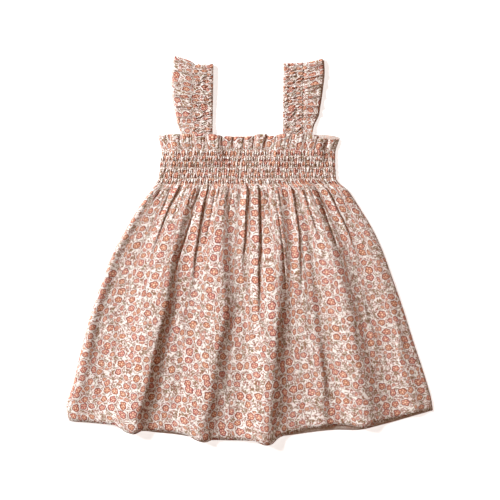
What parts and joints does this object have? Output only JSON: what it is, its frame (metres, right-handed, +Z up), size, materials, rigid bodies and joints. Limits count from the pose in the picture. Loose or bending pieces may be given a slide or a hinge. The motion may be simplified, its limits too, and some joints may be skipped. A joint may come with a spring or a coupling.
{
  "type": "toddler sundress",
  "caption": "Sleeveless cotton sundress for a toddler, laid flat: shirred bodice with a frilled heading, ruffled shoulder straps and a full gathered skirt.",
  "frame": {"origin": "middle of the dress's outline, on the surface it lies on", "axes": "+Z up off the surface, +Y from the hem to the shoulder straps, +X to the right as seen from above with the front up"},
  "size_m": [0.4964, 0.5248, 0.0149],
  "materials": {
    "printed_cotton_front": "woven cotton, small floral print on ivory, matt",
    "printed_cotton_back": "woven cotton, small floral print on ivory, matt",
    "printed_cotton_straps": "shirred cotton, small floral print on ivory, matt",
    "printed_cotton_ruffles": "gathered cotton, small floral print on ivory, matt",
    "sewing_thread": "ivory sewing thread"
  },
  "bodies": {
    "root": {"front": "printed_cotton_front", "back": "printed_cotton_back", "strap_left": "printed_cotton_straps", "strap_right": "printed_cotton_straps", "strap_ruffle_left": "printed_cotton_ruffles", "strap_ruffle_right": "printed_cotton_ruffles"}
  },
  "joints": []
}
